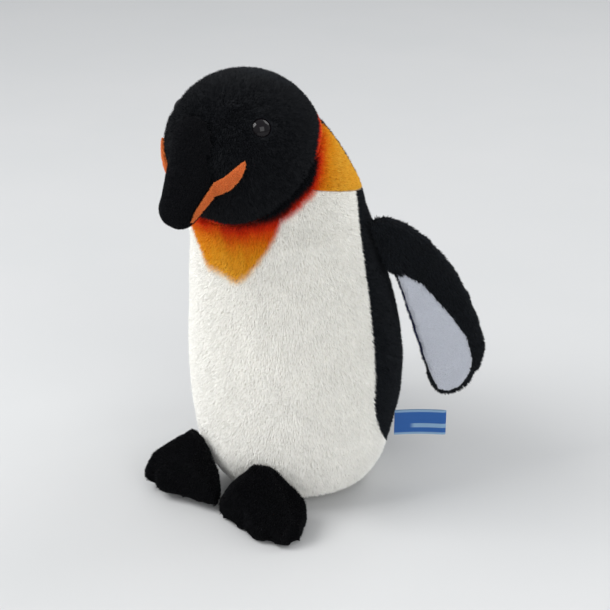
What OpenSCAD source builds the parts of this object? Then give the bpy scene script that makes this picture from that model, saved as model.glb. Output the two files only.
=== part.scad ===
/* [Body] */
// Radius of the body at its fullest
body_r = 70.5; // [66:0.5:74]
// Height of the seam between the body panels and the collar
neck_seam_z = 188; // [180:1:196]
// Depth (Y) of the plane that holds the two side seams
side_seam_y = -3; // [-10:1:6]
// Thickness of plush backing and pressed pile
skin = 3; // [2:0.5:4]
// Thickness of the round base panel
base_t = 3; // [2:0.5:4]

/* [Head] */
// Radius of the head
head_r = 48.3; // [46:0.1:50]
// Distance of the head's centre in front of the body axis
head_forward = 47; // [44:1:50]
// Height of the head's centre
head_z = 239; // [236:1:242]
// Width of the strip that runs over the crown
gusset_w = 30; // [20:1:40]
// Gap between the head and the neck it turns in
head_gap = 0.6; // [0.4:0.1:1]

/* [Beak] */
// Radius of the beak where it meets the face
beak_root_r = 26; // [22:1:28]
// Radius of the rounded beak tip
beak_tip_r = 12; // [10:0.5:13]
// Length from beak root centre to tip centre
beak_len = 43; // [38:0.5:46]
// Slope of the beak below the horizontal
beak_droop = 45; // [38:1:50]
// Slope of the mouth line below the horizontal
mouth_slope = 57; // [50:1:62]
// Width of the coloured stripe on each side
stripe_w = 5.5; // [4:0.5:8]
// How far the stripe stands out from the beak and the cheek
stripe_t = 0.8; // [0.6:0.1:1.5]

/* [Eyes] */
// Radius of a safety eye
eye_r = 6.2; // [5:0.1:7]
// How far the eye's dome stands out
eye_dome = 3.6; // [3:0.1:4.5]
// Radius of the eye's post
eye_post_r = 2; // [1.5:0.1:2.5]
// Radius of the washer behind the cloth
eye_washer_r = 8; // [7:0.5:9]

/* [Flippers] */
// Total thickness of a flipper
flipper_t = 10; // [8:0.5:12]
// Sweep of the flippers behind straight sideways
flipper_sweep = 41; // [30:1:45]
// Radius of the sewn root that the flipper turns on
root_r = 5; // [4:0.5:5]

/* [Feet] */
// Outward turn of the left foot
foot_left_splay = 24; // [20:1:28]
// Outward turn of the right foot
foot_right_splay = 20; // [18:1:24]
// Thickness of the sole
sole_t = 2; // [1.5:0.5:3]

/* [Label] */
// Length of the folded ribbon
label_len = 32; // [28:1:36]
// Width of the ribbon
label_w = 18; // [14:1:19]
// Thickness of the folded ribbon
label_t = 1.2; // [0.8:0.2:2]

/* [Filling] */
// Radius of the pellet bag
bag_r = 38; // [32:1:40]
// Height of the pellet bag
bag_h = 30; // [24:1:34]
// Thickness of the bag's cloth
bag_t = 1; // [0.6:0.2:1.4]

/* [Hidden] */
$fn = 64;

head_c = [0, -head_forward, head_z];
beak_root = head_c + [0, -25, 8];
beak_tip = beak_root + beak_len * [0, -cos(beak_droop), -sin(beak_droop)];
far = 400;

// Body outline: height, forward lean of the centre, radius
torso_rings = [
    [0, 0, 0.625 * body_r], [8, 0, 0.75 * body_r], [20, -1, 0.85 * body_r], [35, -2, 0.915 * body_r],
    [62, 0, 0.985 * body_r], [88, 0, body_r], [112, -2, 0.972 * body_r], [130, -4, 0.936 * body_r],
    [150, -8, 0.894 * body_r], [176, -12, 0.83 * body_r], [195, -19, 0.801 * body_r],
    [210, -24, 0.8 * body_r], [225, -30, 0.759 * body_r], [240, -37, 0.709 * body_r],
    [252, -43, 0.652 * body_r], [260, -46, 0.58 * body_r]
];
torso_sides = 40;

// Left flipper: root point on the body and tilt of its seam
flipper_root = [60.8, 10.4, 175.5];
flipper_tilt = [17, -7, 0];
// Flipper outline: distance out from the root seam, height along it
flipper_line = [
    [0, 20], [8, 20], [20, 10], [31, -6], [40, -28], [45, -49], [47, -72], [46, -92], [40, -106],
    [28, -119], [17, -123], [8, -121], [3, -112], [2, -96], [1, -58], [0, -20]
];

// Foot seen from above, from the side and from the front, measured from the ankle seam
foot_plan = [[-14, 10], [-28, 4], [-30, -3], [-21, -10], [-8, -17], [1, -26], [7, -27], [12, -24],
             [18, -29], [24, -28], [26, -22], [31, -17], [30, -10], [29, 3], [24, 12], [10, 10]];
foot_side = [[10, 0], [-27, 0], [-29, 4], [-28, 11], [-20, 20], [-8, 34], [0, 42], [4, 38]];
foot_front = [[-31, 0], [-31, 9], [-22, 24], [-7, 41], [7, 41], [23, 24], [32, 11], [32, 0]];
ankle_z = 38;
ankle_r = 4;
ankle_w = 16;
foot_left_at = [29.5, -65.9, 0];
foot_right_at = [-27, -67.9, 4];

label_at = [59.5, 34.5, 41];
label_turn = 41;
tail_at = [0, 64, 17];

function ring_point(ring, i, inset) =
    let (a = 360 * i / torso_sides, r = ring[2] - inset)
    [r * cos(a), ring[1] + r * sin(a), max(ring[0], inset)];

// A smooth skin through the body rings, drawn in by inset
module torso_form(inset) {
    count = len(torso_rings);
    points = [for (ring = torso_rings) for (i = [0:torso_sides - 1]) ring_point(ring, i, inset)];
    sides = [for (k = [0:count - 2]) for (i = [0:torso_sides - 1])
        let (j = (i + 1) % torso_sides, lo = k * torso_sides, hi = lo + torso_sides)
        [lo + i, hi + i, hi + j, lo + j]];
    bottom = [[for (i = [0:torso_sides - 1]) i]];
    top = [[for (i = [torso_sides - 1:-1:0]) (count - 1) * torso_sides + i]];
    polyhedron(points, concat(bottom, sides, top));
}

module head_ball(r) {
    translate(head_c) sphere(r);
}

// Cloth of the body, from the base panel up to the head
module torso_skin() {
    difference() {
        torso_form(0);
        torso_form(skin);
        head_ball(head_r + head_gap);
    }
}

// Side seam seen from the side: depth and height; it sweeps back under the body at the bottom
seam_line = [
    [side_seam_y, far], [side_seam_y, 76], [side_seam_y + 3.5, 60], [side_seam_y + 9, 50],
    [side_seam_y + 17, 40], [side_seam_y + 33, 27], [side_seam_y + 52, 14], [far, 8]
];

// Zone from z1 to z2, in front of the side seams or behind them
module front_zone(z1, z2) {
    difference() {
        translate([-far / 2, -far / 2, z1]) cube([far, far, z2 - z1]);
        behind_seam();
    }
}
module back_zone(z1, z2) {
    intersection() {
        translate([-far / 2, -far / 2, z1]) cube([far, far, z2 - z1]);
        behind_seam();
    }
}
module behind_seam() {
    translate([-far, 0, 0]) rotate([90, 0, 90]) linear_extrude(2 * far)
        polygon(concat(seam_line, [[far, far]]));
}
module left_half() {
    translate([0, -far / 2, -far / 2]) cube([far, far, 2 * far]);
}
module right_half() {
    mirror([1, 0, 0]) left_half();
}

module belly_panel() {
    color("ivory") intersection() {
        torso_skin();
        front_zone(base_t, neck_seam_z);
    }
}

module back_panel() {
    intersection() {
        torso_skin();
        back_zone(base_t, neck_seam_z);
        left_half();
    }
}

module back_panel_left() {
    color("#14181c") back_panel();
}

module back_panel_right() {
    color("#14181c") mirror([1, 0, 0]) back_panel();
}

module base_panel() {
    color("ivory") cylinder(r = torso_rings[0][2], h = base_t);
}

module collar() {
    color("orange") intersection() {
        torso_skin();
        front_zone(neck_seam_z, far);
    }
}

module nape() {
    color("#14181c") intersection() {
        torso_skin();
        back_zone(neck_seam_z, far);
    }
}

module bag_form(inset) {
    translate([0, 0, base_t + 2 + inset]) cylinder(r = bag_r - inset, h = bag_h - 2 * inset);
}

module body_stuffing() {
    color("whitesmoke") difference() {
        torso_form(skin);
        head_ball(head_r + head_gap);
        bag_form(0);
    }
}

module pellet_bag() {
    color("lightgrey") difference() {
        bag_form(0);
        bag_form(bag_t);
    }
}

module pellets() {
    color("gainsboro") bag_form(bag_t);
}

// Beak as a blunt cone between a wide root ball and a small tip ball, drawn in by inset
module beak_form(inset) {
    translate(beak_root) rotate([90 + beak_droop, 0, 0]) {
        sphere(beak_root_r - inset);
        cylinder(r1 = beak_root_r - inset, r2 = beak_tip_r - inset, h = beak_len);
        translate([0, 0, beak_len]) sphere(beak_tip_r - inset);
    }
}

// Zone in front of the mouth line, moved back by drop
module above_mouth(drop) {
    translate(beak_tip) rotate([mouth_slope, 0, 0])
        translate([-far / 2, -far / 2, -drop]) cube([far, far, far]);
}

module beak_skin() {
    difference() {
        beak_form(0);
        beak_form(skin);
        head_ball(head_r);
    }
}

module beak_upper() {
    color("#0c0d10") intersection() {
        beak_skin();
        above_mouth(0);
    }
}

module beak_lower() {
    color("#0c0d10") difference() {
        beak_skin();
        above_mouth(0);
    }
}

// Stripe seen from the side, along the mouth line: distance up it and share of the width across it
stripe_line = [
    [-6, -0.3], [0, 0.05], [10, 0.1], [22, 0.1], [32, 0.1], [37, -0.05], [36, -0.25],
    [29, -0.65], [20, -0.95], [10, -0.95], [0, -0.75]
];

// Strip of plush along the mouth line, on the lower beak and the cheek
module beak_stripe() {
    intersection() {
        difference() {
            union() {
                head_ball(head_r + stripe_t);
                beak_form(-stripe_t);
            }
            head_ball(head_r);
            beak_form(0);
        }
        translate(beak_tip) rotate([mouth_slope, 0, 0]) translate([4, 0, 0]) rotate([90, 0, 90])
            linear_extrude(60) polygon([for (p = stripe_line) [p[0], p[1] * stripe_w]]);
    }
}

module beak_stripe_left() {
    color("#d8743a") beak_stripe();
}

module beak_stripe_right() {
    color("#d8743a") mirror([1, 0, 0]) beak_stripe();
}

// Stands a shape on the head's surface at the left eye, its +Z outward
module at_eye() {
    translate(head_c) rotate([0, 56, -32]) translate([0, 0, head_r]) children();
}
module both_sides() {
    children();
    mirror([1, 0, 0]) children();
}

module eye_post_hole() {
    both_sides() at_eye() translate([0, 0, -2 * skin]) cylinder(r = eye_post_r + 0.1, h = 3 * skin);
}

module head_skin() {
    difference() {
        head_ball(head_r);
        head_ball(head_r - skin);
        eye_post_hole();
    }
}

module crown_strip() {
    translate([-gusset_w / 2, -far / 2, head_z - head_r / 2]) cube([gusset_w, far, far]);
}

module head_gusset() {
    color("#101214") intersection() {
        head_skin();
        crown_strip();
    }
}

module head_side() {
    difference() {
        head_skin();
        crown_strip();
        right_half();
    }
}

module head_side_left() {
    color("#101214") head_side();
}

module head_side_right() {
    color("#101214") mirror([1, 0, 0]) head_side();
}

module eye_pocket() {
    both_sides() at_eye() translate([0, 0, -skin - 10]) cylinder(r = eye_washer_r + 0.4, h = 10.5);
}

module head_stuffing() {
    color("whitesmoke") {
        difference() {
            head_ball(head_r - skin);
            eye_pocket();
        }
        difference() {
            beak_form(skin);
            head_ball(head_r);
        }
    }
}

module eye() {
    ball_r = (pow(eye_r, 2) + pow(eye_dome, 2)) / (2 * eye_dome);
    at_eye() {
        intersection() {
            translate([0, 0, eye_dome - ball_r + 0.5]) sphere(ball_r);
            translate([0, 0, 0.5]) cylinder(r = eye_r + 1, h = eye_dome);
        }
        translate([0, 0, -skin - 7]) cylinder(r = eye_post_r, h = skin + 7.5);
    }
}

module eye_washer() {
    at_eye() difference() {
        translate([0, 0, -skin - 2.4]) cylinder(r = eye_washer_r, h = 1.6);
        translate([0, 0, -skin - 3]) cylinder(r = eye_post_r, h = 3);
    }
}

module eye_left() {
    color("#1a0f0a") eye();
}

module eye_right() {
    color("#1a0f0a") mirror([1, 0, 0]) eye();
}

module eye_washer_left() {
    color("white") eye_washer();
}

module eye_washer_right() {
    color("white") mirror([1, 0, 0]) eye_washer();
}

// Flipper in its own frame: the root seam on Z, out along X, outer face towards +Y
module flipper_slab(y1, y2, inset) {
    translate([0, y2, 0]) rotate([90, 0, 0]) linear_extrude(y2 - y1) offset(delta = -inset)
        polygon(flipper_line);
}

// Where the lining shows, between two depths
module lining_slab(y1, y2) {
    translate([0, y2, 0]) rotate([90, 0, 0]) linear_extrude(y2 - y1) polygon(lining_line);
}

module at_flipper() {
    translate(flipper_root) rotate(flipper_tilt) rotate([0, 0, flipper_sweep]) children();
}

lining_t = 1.5;
// Lining outline, in the flipper's own frame; the black plush is turned in wide along the leading edge
lining_line = [
    [3, -22], [8, -22], [17.5, -33], [27, -57], [34, -77], [34, -95], [30, -106], [22, -115],
    [14, -117], [8.5, -113], [6.5, -95], [6, -66], [4.5, -44]
];
wadding_t = skin;

module flipper_wadding() {
    at_flipper() wadding_form();
}

module wadding_form() {
    difference() {
        flipper_slab(-flipper_t / 2 + wadding_t, flipper_t / 2 - wadding_t, skin);
        translate([0, 0, -20]) cylinder(r = root_r, h = 40);
    }
    intersection() {
        lining_slab(-flipper_t / 2 + lining_t, 0);
        flipper_slab(-flipper_t, flipper_t, skin);
    }
}

module flipper_outer() {
    at_flipper() {
        difference() {
            flipper_slab(-flipper_t / 2, flipper_t / 2, 0);
            wadding_form();
            lining_slab(-flipper_t, -flipper_t / 2 + lining_t);
        }
        translate([0, 0, -20]) cylinder(r = root_r, h = 40);
    }
}

module flipper_lining() {
    at_flipper() lining_slab(-flipper_t / 2, -flipper_t / 2 + lining_t);
}

module flipper_outer_left() {
    color("#14181c") flipper_outer();
}

module flipper_lining_left() {
    color("lavender") flipper_lining();
}

module flipper_wadding_left() {
    color("whitesmoke") flipper_wadding();
}

module flipper_outer_right() {
    color("#14181c") mirror([1, 0, 0]) flipper_outer();
}

module flipper_lining_right() {
    color("lavender") mirror([1, 0, 0]) flipper_lining();
}

module flipper_wadding_right() {
    color("whitesmoke") mirror([1, 0, 0]) flipper_wadding();
}

// Foot in its own frame: the ankle's axis along X at ankle_z, toes towards -Y, sole on z = 0
module foot_form(inset) {
    intersection() {
        linear_extrude(2 * ankle_z) offset(delta = -inset) polygon(foot_plan);
        rotate([90, 0, 90]) translate([0, 0, -far / 2]) linear_extrude(far)
            offset(delta = -inset) polygon(foot_side);
        rotate([90, 0, 0]) translate([0, 0, -far / 2]) linear_extrude(far)
            offset(delta = -inset) polygon(foot_front);
    }
}

// Everything above the height z
module above(z) {
    translate([-far / 2, -far / 2, z]) cube(far);
}

module foot_top() {
    difference() {
        intersection() {
            foot_form(0);
            above(sole_t);
        }
        foot_form(skin);
    }
    translate([-ankle_w / 2, 0, ankle_z]) rotate([0, 90, 0]) cylinder(r = ankle_r, h = ankle_w);
}

module foot_sole() {
    difference() {
        foot_form(0);
        above(sole_t);
    }
}

module foot_stuffing() {
    difference() {
        foot_form(skin);
        translate([-ankle_w / 2, 0, ankle_z]) rotate([0, 90, 0]) cylinder(r = ankle_r, h = ankle_w);
    }
}

module at_left_foot() {
    translate(foot_left_at) rotate([0, 0, foot_left_splay]) children();
}

module at_right_foot() {
    translate(foot_right_at) rotate([0, 0, -foot_right_splay]) mirror([1, 0, 0]) children();
}

module foot_top_left() {
    color("#0c0d10") at_left_foot() foot_top();
}

module foot_sole_left() {
    color("#0c0d10") at_left_foot() foot_sole();
}

module foot_stuffing_left() {
    color("whitesmoke") at_left_foot() foot_stuffing();
}

module foot_top_right() {
    color("#0c0d10") at_right_foot() foot_top();
}

module foot_sole_right() {
    color("#0c0d10") at_right_foot() foot_sole();
}

module foot_stuffing_right() {
    color("whitesmoke") at_right_foot() foot_stuffing();
}

// Tail: a flat pointed flap on a rounded root along X
tail_len = 20;
tail_w = 28;
tail_t = 8;

module tail_flap(z1, z2) {
    translate([0, 0, z1]) linear_extrude(z2 - z1)
        polygon([[-tail_w / 2, 0], [tail_w / 2, 0], [tail_w / 4, tail_len], [-tail_w / 4, tail_len]]);
}

module tail_top() {
    color("#14181c") translate(tail_at) {
        tail_flap(0, tail_t / 2);
        intersection() {
            translate([-tail_w / 2, 0, 0]) rotate([0, 90, 0]) cylinder(r = tail_t / 2, h = tail_w);
            translate([-tail_w, -tail_t, 0]) cube([2 * tail_w, 2 * tail_t, tail_t]);
        }
    }
}

module tail_under() {
    color("#14181c") translate(tail_at) {
        tail_flap(-tail_t / 2, 0);
        intersection() {
            translate([-tail_w / 2, 0, 0]) rotate([0, 90, 0]) cylinder(r = tail_t / 2, h = tail_w);
            translate([-tail_w, -tail_t, -tail_t]) cube([2 * tail_w, 2 * tail_t, tail_t]);
        }
    }
}

// Folded ribbon: two layers that meet in a round fold at the free end
module label() {
    layer = 0.4;
    fold_r = label_t / 2;
    color("royalblue") translate(label_at) rotate([0, 0, label_turn])
        translate([0, 0, -label_w / 2]) linear_extrude(label_w) difference() {
            union() {
                translate([0, -fold_r]) square([label_len - fold_r, label_t]);
                translate([label_len - fold_r, 0]) circle(fold_r);
            }
            translate([3, -fold_r + layer]) square([label_len - fold_r - 3, label_t - 2 * layer]);
        }
}

belly_panel();
back_panel_left();
back_panel_right();
base_panel();
collar();
nape();
body_stuffing();
pellet_bag();
pellets();
head_gusset();
head_side_left();
head_side_right();
head_stuffing();
beak_upper();
beak_lower();
beak_stripe_left();
beak_stripe_right();
eye_left();
eye_right();
eye_washer_left();
eye_washer_right();
flipper_outer_left();
flipper_lining_left();
flipper_wadding_left();
flipper_outer_right();
flipper_lining_right();
flipper_wadding_right();
foot_top_left();
foot_sole_left();
foot_stuffing_left();
foot_top_right();
foot_sole_right();
foot_stuffing_right();
tail_top();
tail_under();
label();
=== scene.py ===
"""A stuffed toy penguin: sewn plush panels with a real pile, filled feet and flippers, glossy eyes."""

import logging
import math
from collections.abc import Callable, Iterator
from contextlib import contextmanager
from dataclasses import dataclass, field
from enum import Enum

import bmesh
import bpy
import numpy as np
from mathutils import Matrix, Vector
from mathutils.bvhtree import BVHTree


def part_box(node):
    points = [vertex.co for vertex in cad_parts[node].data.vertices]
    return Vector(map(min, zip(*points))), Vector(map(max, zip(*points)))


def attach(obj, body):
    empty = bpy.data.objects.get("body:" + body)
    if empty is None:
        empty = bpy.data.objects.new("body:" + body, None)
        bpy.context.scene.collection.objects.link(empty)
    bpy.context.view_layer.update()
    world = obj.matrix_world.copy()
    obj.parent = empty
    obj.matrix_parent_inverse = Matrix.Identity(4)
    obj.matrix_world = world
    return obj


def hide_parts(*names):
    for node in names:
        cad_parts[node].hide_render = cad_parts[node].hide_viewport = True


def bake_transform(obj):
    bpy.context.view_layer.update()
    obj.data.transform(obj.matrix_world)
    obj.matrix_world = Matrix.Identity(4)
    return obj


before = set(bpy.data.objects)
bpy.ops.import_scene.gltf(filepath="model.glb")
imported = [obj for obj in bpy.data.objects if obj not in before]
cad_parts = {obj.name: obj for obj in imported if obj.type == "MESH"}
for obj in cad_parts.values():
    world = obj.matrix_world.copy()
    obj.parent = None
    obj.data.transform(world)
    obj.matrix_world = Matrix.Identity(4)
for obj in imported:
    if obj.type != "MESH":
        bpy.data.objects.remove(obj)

LOG = logging.getLogger("penguin")
MM = 0.001
BAKE_MAP = "OFBake"
COLOUR_RESULT = 2
SEAM_GAP = 0.02 * MM
MERGE = 0.02 * MM
Triple = tuple[float, float, float]
Colour = Triple
Mask = Callable[[np.ndarray], np.ndarray]
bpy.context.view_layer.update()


# ---------------------------------------------------------------- making meshes


def select_only(*objects: bpy.types.Object) -> None:
    """Selects these objects and makes the last one active."""
    bpy.ops.object.select_all(action="DESELECT")
    for item in objects:
        item.select_set(True)
    bpy.context.view_layer.objects.active = objects[-1]


@contextmanager
def editing(piece: bpy.types.Object, everything: bool = False) -> Iterator[None]:
    """Opens a piece in edit mode and leaves it again.

    Args:
        piece: The mesh object to edit.
        everything: Whether all of it starts selected.
    """
    select_only(piece)
    bpy.ops.object.mode_set(mode="EDIT")
    bpy.ops.mesh.select_mode(type="FACE")
    bpy.ops.mesh.select_all(action="SELECT" if everything else "DESELECT")
    yield
    bpy.ops.object.mode_set(mode="OBJECT")


def applied(piece: bpy.types.Object, kind: str, **settings: object) -> None:
    """Adds a modifier with these settings and applies it.

    Args:
        piece: The mesh object it works on.
        kind: The modifier's type name.
        settings: Values for the modifier's own settings.
    """
    select_only(piece)
    modifier = piece.modifiers.new(kind.lower(), kind)
    for name, value in settings.items():
        setattr(modifier, name, value)
    bpy.ops.object.modifier_apply(modifier=modifier.name)


def primitive(shape: str, **settings: object) -> bpy.types.Object:
    """Adds one of the mesh primitives, selected alone."""
    bpy.ops.object.select_all(action="DESELECT")
    getattr(bpy.ops.mesh, f"primitive_{shape}_add")(**settings)
    return bpy.context.active_object


def linked(name: str, data: bpy.types.ID) -> bpy.types.Object:
    """A new object in the scene that shows this data."""
    made = bpy.data.objects.new(name, data)
    bpy.context.scene.collection.objects.link(made)
    return made


def points_of(piece: bpy.types.Object) -> np.ndarray:
    """The places of a mesh's vertices, one row each, in metres."""
    places = np.zeros(len(piece.data.vertices) * 3)
    piece.data.vertices.foreach_get("co", places)
    return places.reshape(-1, 3)


def copy_of(piece: bpy.types.Object, name: str) -> bpy.types.Object:
    """A new object with its own copy of a mesh, riding on nothing.

    Args:
        piece: The object whose mesh is copied.
        name: The new object's name.

    Returns:
        The new object, linked to the scene.
    """
    copy = linked(name, piece.data.copy())
    copy.data.materials.clear()
    return copy


def solid_from(name: str, *nodes: str) -> bpy.types.Object:
    """One mesh made of copies of CAD nodes, with their loose triangles merged.

    Args:
        name: The new object's name.
        nodes: The CAD nodes to copy.

    Returns:
        The joined copy.
    """
    copies = [copy_of(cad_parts[node], name) for node in nodes]
    select_only(*copies)
    if len(copies) > 1:
        bpy.ops.object.join()
    solid = bpy.context.view_layer.objects.active
    with editing(solid, everything=True):
        bpy.ops.mesh.remove_doubles(threshold=MERGE)
    return solid


def outer_part(piece: bpy.types.Object) -> bpy.types.Object:
    """Keeps the largest connected part of a mesh and removes what lies inside it."""
    name = piece.name
    with editing(piece, everything=True):
        bpy.ops.mesh.separate(type="LOOSE")
    parts = sorted(bpy.context.selected_objects, key=lambda part: part.dimensions.length)
    for part in parts[:-1]:
        bpy.data.objects.remove(part)
    parts[-1].name = name
    return parts[-1]


def rounded(piece: bpy.types.Object, voxel: float, rounds: int) -> bpy.types.Object:
    """Remeshes a solid evenly and softens its edges, as cloth over a filling.

    Args:
        piece: The closed mesh.
        voxel: Size of the new faces, in metres.
        rounds: How often the new mesh is smoothed.

    Returns:
        The new outer surface.
    """
    applied(piece, "REMESH", mode="VOXEL", voxel_size=voxel)
    piece = outer_part(piece)
    applied(piece, "SMOOTH", factor=0.5, iterations=rounds)
    return piece


@dataclass(frozen=True)
class Filling:
    """How hard a sewn cover is filled.

    Attributes:
        shrink: How much smaller the cover starts, in metres.
        pressure: Push of the filling on the cloth.
        cap: The furthest that a point of the cloth may move, in metres.
        steps: Number of simulated frames.
    """

    shrink: float
    pressure: float
    cap: float
    steps: int = 20

    def stuff(self, cover: bpy.types.Object, seams: Mask) -> None:
        """Fills a cover by cloth simulation and applies the result.

        Args:
            cover: The closed cover.
            seams: Says for each point whether thread holds it in place.
        """
        applied(cover, "DISPLACE", strength=-self.shrink, mid_level=0.0)
        before = points_of(cover)
        held = cover.vertex_groups.new(name="seams")
        held.add([int(i) for i in np.flatnonzero(seams(before))], 1.0, "REPLACE")
        cloth = cover.modifiers.new("cloth", "CLOTH")
        cloth.settings.vertex_group_mass = held.name
        cloth.settings.use_pressure = True
        cloth.settings.uniform_pressure_force = self.pressure
        cloth.settings.effector_weights.gravity = 0.0
        cloth.point_cache.frame_start = 1
        cloth.point_cache.frame_end = self.steps
        for step in range(1, self.steps + 1):
            bpy.context.scene.frame_set(step)
        select_only(cover)
        bpy.ops.object.modifier_apply(modifier=cloth.name)
        bpy.context.scene.frame_set(1)
        moves = points_of(cover) - before
        lengths = np.linalg.norm(moves, axis=1, keepdims=True)
        moves *= np.minimum(1.0, self.cap / np.maximum(lengths, 1e-9))
        cover.data.vertices.foreach_set("co", (before + moves).ravel())
        cover.data.update()


@dataclass(frozen=True)
class Cut:
    """A plane that trims a mesh; what lies on the side that the normal points to goes."""

    point: Triple
    normal: Triple

    def trim(self, piece: bpy.types.Object) -> None:
        """Cuts the piece along the plane."""
        with editing(piece, everything=True):
            bpy.ops.mesh.bisect(plane_co=self.point, plane_no=self.normal, clear_outer=True)


def below(z: float) -> Cut:
    """A cut that keeps what is below the height z."""
    return Cut((0, 0, z), (0, 0, 1))


def above(z: float) -> Cut:
    """A cut that keeps what is above the height z."""
    return Cut((0, 0, z), (0, 0, -1))


def front_of(y: float) -> Cut:
    """A cut that keeps what is in front of y."""
    return Cut((0, y, 0), (0, 1, 0))


def behind(y: float) -> Cut:
    """A cut that keeps what is behind y."""
    return Cut((0, y, 0), (0, -1, 0))


def beside(x: float, side: int) -> Cut:
    """A cut that keeps what is further out than x on one side, 1 for left and -1 for right."""
    return Cut((x, 0, 0), (-side, 0, 0))


def keep_faces(piece: bpy.types.Object, test: Callable[[Vector, Vector], bool]) -> None:
    """Deletes the faces of a piece that fail a test.

    Args:
        piece: The mesh object.
        test: Takes a face's centre and normal, and says whether it stays.
    """
    with editing(piece):
        mesh = bmesh.from_edit_mesh(piece.data)
        for face in mesh.faces:
            face.select_set(not test(face.calc_center_median(), face.normal))
        bmesh.update_edit_mesh(piece.data)
        bpy.ops.mesh.delete(type="FACE")


def soft_shaded(piece: bpy.types.Object) -> None:
    """Shades a piece smooth, with its sharp edges kept."""
    select_only(piece)
    bpy.ops.object.shade_smooth_by_angle(angle=math.radians(50))


def backed(piece: bpy.types.Object, finish: "Plush", thickness: float) -> None:
    """Gives an open panel its cloth, with the thickness on the inside."""
    applied(piece, "SOLIDIFY", thickness=thickness, offset=-1.0)
    soft_shaded(piece)
    piece.data.materials.append(finish.cloth())


class Wrap(Enum):
    """How a pile's bake map is laid round a piece."""

    AROUND_Z = "around the upright axis"
    AROUND_X = "around the sideways axis"
    FLAT_SIDE = "seen from the side"
    FLAT_WIDE = "seen square to its widest face"


def lay_out(piece: bpy.types.Object, wrap: Wrap) -> None:
    """Lays the bake map of a piece out by the places of its vertices.

    Args:
        piece: The mesh object.
        wrap: Which way the map lies.
    """
    places = points_of(piece)
    offsets = places - (places.min(0) + places.max(0)) / 2
    if wrap is Wrap.AROUND_Z:
        facing = np.arctan2(places[:, 0].mean(), -places[:, 1].mean())
        turn = np.arctan2(places[:, 0], -places[:, 1]) - facing
        flat = np.stack([np.mod(turn + math.pi, 2 * math.pi), places[:, 2] / places[:, 2].max()], 1)
    elif wrap is Wrap.AROUND_X:
        turn = np.arctan2(offsets[:, 1], offsets[:, 2])
        flat = np.stack([turn, offsets[:, 0]], 1)
    elif wrap is Wrap.FLAT_SIDE:
        flat = offsets[:, 1:]
    else:
        flat = offsets @ np.linalg.svd(offsets[::20], full_matrices=False)[2][:2].T
    low, high = flat.min(0), flat.max(0)
    flat = 0.01 + 0.98 * (flat - low) / (high - low)
    corners = np.zeros(len(piece.data.loops), np.int32)
    piece.data.loops.foreach_get("vertex_index", corners)
    layer = piece.data.uv_layers.new(name=BAKE_MAP)
    layer.uv.foreach_set("vector", flat[corners].astype(np.float32).ravel())


# ---------------------------------------------------------------- shader maths


class Wire:
    """A shader socket that can be used in arithmetic."""

    def __init__(self, shader: "Shader", socket: bpy.types.NodeSocket) -> None:
        """Keeps the socket and the shader it belongs to."""
        self.shader = shader
        self.socket = socket

    def _math(self, operation: str, *terms: "Wire | float") -> "Wire":
        """Adds one Math node."""
        return self.shader.node("ShaderNodeMath", {"operation": operation}, dict(enumerate(terms)))

    def __add__(self, other: "Wire | float") -> "Wire":
        """Sum."""
        return self._math("ADD", self, other)

    def __sub__(self, other: "Wire | float") -> "Wire":
        """Difference."""
        return self._math("SUBTRACT", self, other)

    def __rsub__(self, other: float) -> "Wire":
        """A number less this."""
        return self._math("SUBTRACT", other, self)

    def __mul__(self, other: "Wire | float") -> "Wire":
        """Product."""
        return self._math("MULTIPLY", self, other)

    def __truediv__(self, other: "Wire | float") -> "Wire":
        """Quotient."""
        return self._math("DIVIDE", self, other)

    def __abs__(self) -> "Wire":
        """Size without sign."""
        return self._math("ABSOLUTE", self)

    __radd__ = __add__
    __rmul__ = __mul__

    def at_least(self, other: "Wire | float") -> "Wire":
        """The larger of the two."""
        return self._math("MAXIMUM", self, other)

    def root(self) -> "Wire":
        """Square root."""
        return self._math("SQRT", self)

    def angle_to(self, other: "Wire") -> "Wire":
        """Angle in radians of the point (other, self)."""
        return self._math("ARCTAN2", self, other)

    def step(self, low: float, high: float) -> "Wire":
        """A smooth rise from 0 at low to 1 at high; low may be the larger of the two."""
        settings = {"interpolation_type": "SMOOTHSTEP"}
        ends = {"From Min": min(low, high), "From Max": max(low, high), "To Min": 0.0, "To Max": 1.0}
        rise = self.shader.node("ShaderNodeMapRange", settings, {"Value": self, **ends})
        return rise if low < high else 1.0 - rise


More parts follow.
